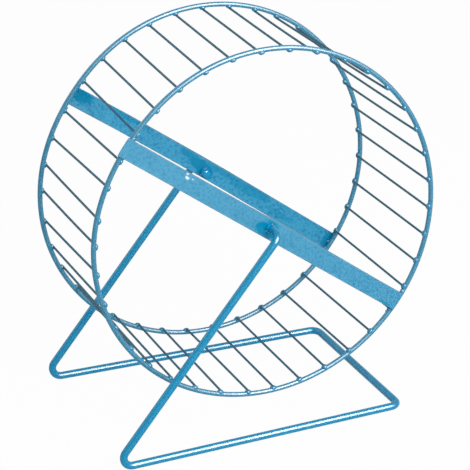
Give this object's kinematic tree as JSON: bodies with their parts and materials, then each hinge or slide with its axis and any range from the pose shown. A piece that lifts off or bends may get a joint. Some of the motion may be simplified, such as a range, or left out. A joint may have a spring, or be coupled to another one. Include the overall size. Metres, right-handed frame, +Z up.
{
  "type": "hamster wheel",
  "caption": "Open wire running drum with a hoop and a flat bar at each end and cross rungs between, turning on a free-standing bent-wire stand.",
  "frame": {"origin": "on the floor, straight below the middle of the wheel", "axes": "+Z up; +Y along the wheel's axle, from the front to the rear; +X to the right, from the legs' feet to the stand's cross side"},
  "size_m": [0.2026, 0.1226, 0.2235],
  "materials": {
    "bar_paint": "glossy blue paint",
    "stand_paint": "glossy blue paint",
    "hoop_paint": "glossy blue paint",
    "rung_paint": "glossy blue paint"
  },
  "bodies": {
    "stand": {"stand_wire": "stand_paint"},
    "wheel": {"front_hoop": "hoop_paint", "rear_hoop": "hoop_paint", "front_bar": "bar_paint", "rear_bar": "bar_paint", "rung_01": "rung_paint", "rung_02": "rung_paint", "rung_03": "rung_paint", "rung_04": "rung_paint", "rung_05": "rung_paint", "rung_06": "rung_paint", "rung_07": "rung_paint", "rung_08": "rung_paint", "rung_09": "rung_paint", "rung_10": "rung_paint", "rung_11": "rung_paint", "rung_12": "rung_paint", "rung_13": "rung_paint", "rung_14": "rung_paint", "rung_15": "rung_paint", "rung_16": "rung_paint", "rung_17": "rung_paint", "rung_18": "rung_paint", "rung_19": "rung_paint", "rung_20": "rung_paint", "rung_21": "rung_paint", "rung_22": "rung_paint", "rung_23": "rung_paint", "rung_24": "rung_paint", "rung_25": "rung_paint", "rung_26": "rung_paint", "rung_27": "rung_paint", "rung_28": "rung_paint", "rung_29": "rung_paint", "rung_30": "rung_paint", "rung_31": "rung_paint", "rung_32": "rung_paint", "rung_33": "rung_paint", "rung_34": "rung_paint", "rung_35": "rung_paint", "rung_36": "rung_paint", "rung_37": "rung_paint", "rung_38": "rung_paint"}
  },
  "joints": [
    {"name": "wheel_spin", "type": "hinge", "parent": "stand", "child": "wheel", "pos_m": [0, 0, 0.1221], "axis": [0, 1, 0], "continuous": true}
  ]
}
